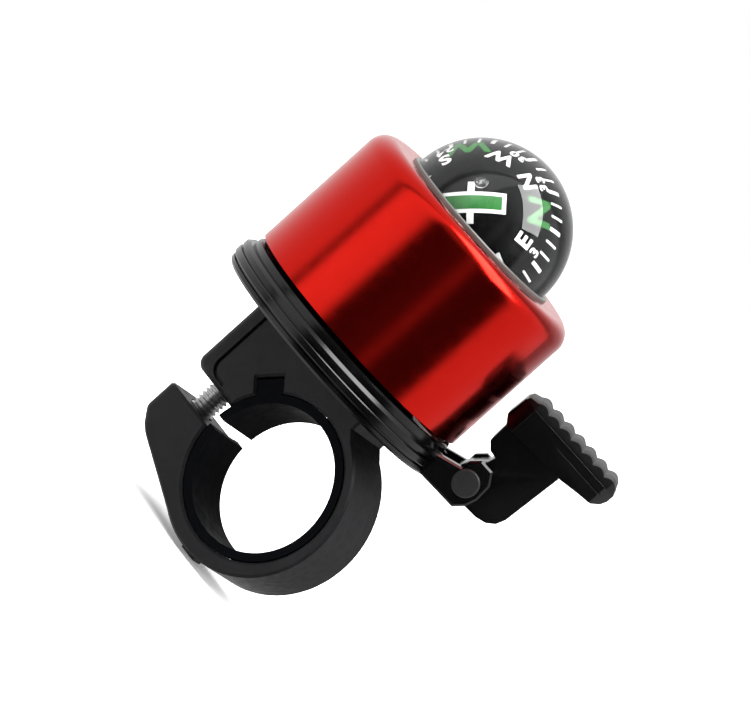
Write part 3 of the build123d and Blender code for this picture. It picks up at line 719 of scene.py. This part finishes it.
# %% Grip's outline
LEVER_BEARING = math.radians(28)
lever_place = Matrix.Translation(BELL) @ Matrix.Rotation(LEVER_BEARING, 4, "Z")
GRIP_IN, GRIP_OUT, GRIP_HALF = 22.4 * MM, 40.9 * MM, 6.3 * MM
GRIP_LOW, GRIP_VALLEY, WAVE = 35.3 * MM, 36.25 * MM, 0.55 * MM
RIBS, STEPS = 7, 8
wave = [(GRIP_IN, GRIP_LOW), (GRIP_OUT, GRIP_LOW)]
first_rib = GRIP_OUT - 0.5 * MM
rib_run = (GRIP_OUT - GRIP_IN - 2.0 * MM) / RIBS
for step in range(STEPS * RIBS + 1):
    swell = math.sin(math.pi * (step % STEPS) / STEPS)
    wave.append((first_rib - rib_run * step / STEPS, GRIP_VALLEY + WAVE * swell))
wave.append((GRIP_IN + 0.3 * MM, GRIP_VALLEY - 0.3 * MM))
print("grip outline:", len(wave), "points")

# %% Grip's body
draw_line(wave)
bpy.ops.mesh.edge_face_add()
bpy.ops.mesh.extrude_region_move(TRANSFORM_OT_translate={"value": (0, 2 * GRIP_HALF, 0)})
bpy.ops.mesh.select_all(action="SELECT")
bpy.ops.transform.translate(value=(0, -GRIP_HALF, 0))
for out, sign_out, cut in ((GRIP_IN, -1, 1.9 * MM), (GRIP_OUT, 1, 1.4 * MM)):
    for side in (-1, 1):
        bpy.ops.mesh.select_all(action="SELECT")
        bpy.ops.mesh.bisect(plane_co=(out - sign_out * cut, side * GRIP_HALF, 0),
                            plane_no=(sign_out, side, 0), use_fill=True, clear_outer=True)
bpy.ops.mesh.select_all(action="SELECT")
bpy.ops.mesh.normals_make_consistent(inside=False)
bpy.ops.object.mode_set(mode="OBJECT")
grip = start_piece("ribbed_grip", finish["pad_grip"])
bevel_edges(grip, 0.22 * MM, 2)
grip.data.transform(lever_place)
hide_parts("thumb_pad")
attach(grip, "lever")
print("grip:", len(grip.data.polygons), "faces")

# %% [markdown]
# ## Clamp screw
# The jaw gap shows the screw's thread. Stacked rings would be simpler, but a real thread climbs, and that
# shows from the side. So one V profile is wound up the shank by the Screw modifier and its ends are cut
# square.

# %% Thread
SCREW_X = -17.6 * MM
CREST, ROOT, PITCH = 2.0 * MM, 1.6 * MM, 0.7 * MM
THREAD_LOW, THREAD_HIGH = -7.5 * MM, 11.75 * MM
turns = math.ceil((THREAD_HIGH - THREAD_LOW) / PITCH) + 2
draw_line([(ROOT, 0), (ROOT, 0.1 * PITCH), (CREST, 0.45 * PITCH), (CREST, 0.6 * PITCH),
           (ROOT, PITCH)])
bpy.ops.object.mode_set(mode="OBJECT")
thread = start_piece("clamp_screw_thread", finish["bright_steel"])
bpy.ops.object.modifier_add(type="SCREW")
winding = thread.modifiers[-1]
winding.screw_offset = PITCH
winding.iterations = turns
winding.steps = winding.render_steps = 40
winding.use_merge_vertices = True
winding.merge_threshold = 0.005 * MM
bpy.ops.object.modifier_apply(modifier=winding.name)
thread.data.transform(Matrix.Translation((SCREW_X, 0, THREAD_LOW - PITCH)))
bpy.ops.object.mode_set(mode="EDIT")
for height, sense in ((THREAD_LOW, -1), (THREAD_HIGH, 1)):
    bpy.ops.mesh.select_all(action="SELECT")
    bpy.ops.mesh.bisect(plane_co=(0, 0, height), plane_no=(0, 0, sense), use_fill=True, clear_outer=True)
bpy.ops.mesh.select_all(action="SELECT")
bpy.ops.mesh.normals_make_consistent(inside=False)
bpy.ops.object.mode_set(mode="OBJECT")
bpy.ops.object.shade_smooth_by_angle(angle=math.radians(30))
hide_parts("clamp_screw")
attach(thread, "base")
low = min(vertex.co.z for vertex in thread.data.vertices)
print("thread:", len(thread.data.polygons), "faces from", round(low / MM, 2), "mm")

# %% [markdown]
# The head hangs under the lower ear and takes a cross driver. Pushing faces of the cylinder inwards would
# need its end divided first, so two boxes are cut from it instead, and the edges are softened after.

# %% Head with a cross recess
HEAD_LOW, HEAD_HIGH, HEAD_RADIUS = -8.9 * MM, -6.6 * MM, 3.3 * MM
SLOT_WIDTH, SLOT_LENGTH, SLOT_HEIGHT = 0.8 * MM, 3.6 * MM, 3.0 * MM


def block(name, size, centre):
    """Box of the given size round its centre, to cut with."""
    bpy.ops.object.select_all(action="DESELECT")
    bpy.ops.mesh.primitive_cube_add(size=1, location=centre)
    bpy.context.object.scale = size
    bpy.ops.object.transform_apply(location=True, rotation=False, scale=True)
    bpy.context.object.name = name
    return bpy.context.object


bpy.ops.object.select_all(action="DESELECT")
bpy.ops.mesh.primitive_cylinder_add(vertices=72, radius=HEAD_RADIUS, depth=HEAD_HIGH - HEAD_LOW,
                                    location=(SCREW_X, 0, (HEAD_LOW + HEAD_HIGH) / 2))
bpy.ops.object.transform_apply(location=True)
head = start_piece("clamp_screw_head", finish["bright_steel"])
for size in ((SLOT_WIDTH, SLOT_LENGTH, SLOT_HEIGHT), (SLOT_LENGTH, SLOT_WIDTH, SLOT_HEIGHT)):
    cutter = block("recess_cutter", size, (SCREW_X, 0, HEAD_LOW))
    bpy.ops.object.select_all(action="DESELECT")
    head.select_set(True)
    bpy.context.view_layer.objects.active = head
    bpy.ops.object.modifier_add(type="BOOLEAN")
    recess = head.modifiers[-1]
    recess.operation = "DIFFERENCE"
    recess.object = cutter
    bpy.ops.object.modifier_apply(modifier=recess.name)
    bpy.data.objects.remove(cutter)
bevel_edges(head, 0.3 * MM)
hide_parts("clamp_screw")
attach(head, "base")
print("screw head:", len(head.data.polygons), "faces")
